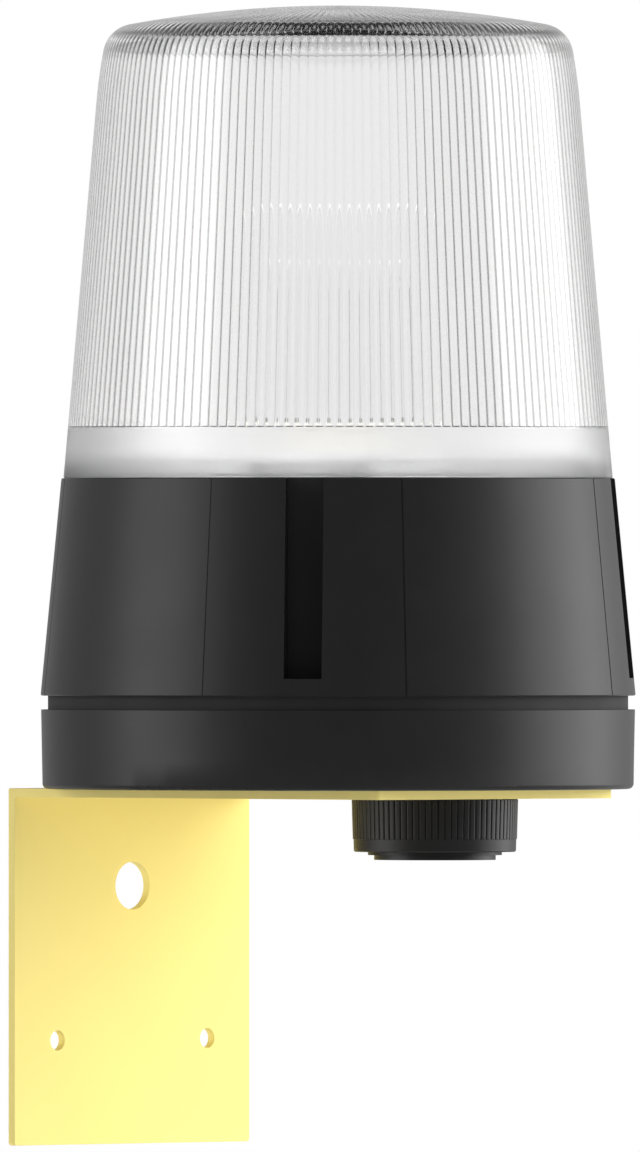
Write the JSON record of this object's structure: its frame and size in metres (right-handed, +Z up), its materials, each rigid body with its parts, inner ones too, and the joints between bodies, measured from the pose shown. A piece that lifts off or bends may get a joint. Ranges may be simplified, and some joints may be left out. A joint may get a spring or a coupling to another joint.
{
  "type": "wall-mounted strobe beacon with buzzer",
  "caption": "Strobe beacon with a clear ribbed lens on a black conical housing, standing on a yellow folded wall bracket with a knurled buzzer under its shelf.",
  "frame": {"origin": "on the wall face, midway between the bracket's two fixing holes", "axes": "+X away from the wall, +Y along the bracket's width, +Z up along the beacon's axis"},
  "size_m": [0.1313, 0.1304, 0.2502],
  "materials": {
    "bracket_paint": "satin powder coat, pale yellow",
    "black_plastic": "fine satin moulding, black",
    "gasket_rubber": "matt",
    "screw_steel": "zinc plated",
    "insert_brass": "turned",
    "board_green": "solder mask",
    "capacitor_sleeve": "shrink sleeve",
    "ferrite": "matt",
    "winding_copper": "lacquered wire",
    "terminal_plastic": "moulded",
    "coil_plastic": "taped",
    "white_plastic": "smooth, reflecting",
    "socket_ceramic": "unglazed",
    "lead_metal": "drawn wire",
    "tube_glass": "clear",
    "cover_glass": "clear",
    "seal_silicone": "translucent white",
    "clear_plastic": "clear polycarbonate, ribbed inside",
    "disc_brass": "plain",
    "lead_sleeve": "sleeving"
  },
  "bodies": {
    "base": {"wall_bracket": "bracket_paint", "base_pan": "black_plastic", "base_gasket": "gasket_rubber", "housing": "black_plastic", "housing_screws": "screw_steel", "base_screws": "screw_steel", "base_inserts": "insert_brass", "cable_grommet": "gasket_rubber", "circuit_board": "board_green", "board_screws": "screw_steel", "storage_capacitor": "capacitor_sleeve", "transformer_core": "ferrite", "transformer_winding": "winding_copper", "terminal_block": "terminal_plastic", "terminal_screws": "screw_steel", "trigger_coil": "coil_plastic", "reflector_tray": "white_plastic", "tray_screws": "screw_steel", "lamp_socket": "socket_ceramic", "lamp_leads": "lead_metal", "tube_caps": "lead_metal", "flash_tube": "tube_glass", "trigger_wire": "lead_metal", "glass_cover": "cover_glass", "lens_seal": "seal_silicone", "buzzer_case": "black_plastic", "buzzer_seal": "gasket_rubber", "knurled_ring": "black_plastic", "buzzer_grille": "black_plastic", "sounder_disc": "disc_brass", "buzzer_lid": "terminal_plastic", "buzzer_pins": "insert_brass", "buzzer_leads": "lead_sleeve"},
    "lens_cap": {"lens": "clear_plastic"}
  },
  "joints": [
    {"name": "lens_twist", "type": "hinge", "parent": "base", "child": "lens_cap", "pos_m": [0.0661, 0, 0.1237], "axis": [0, 0, 1], "range_deg": [0, 32]}
  ]
}
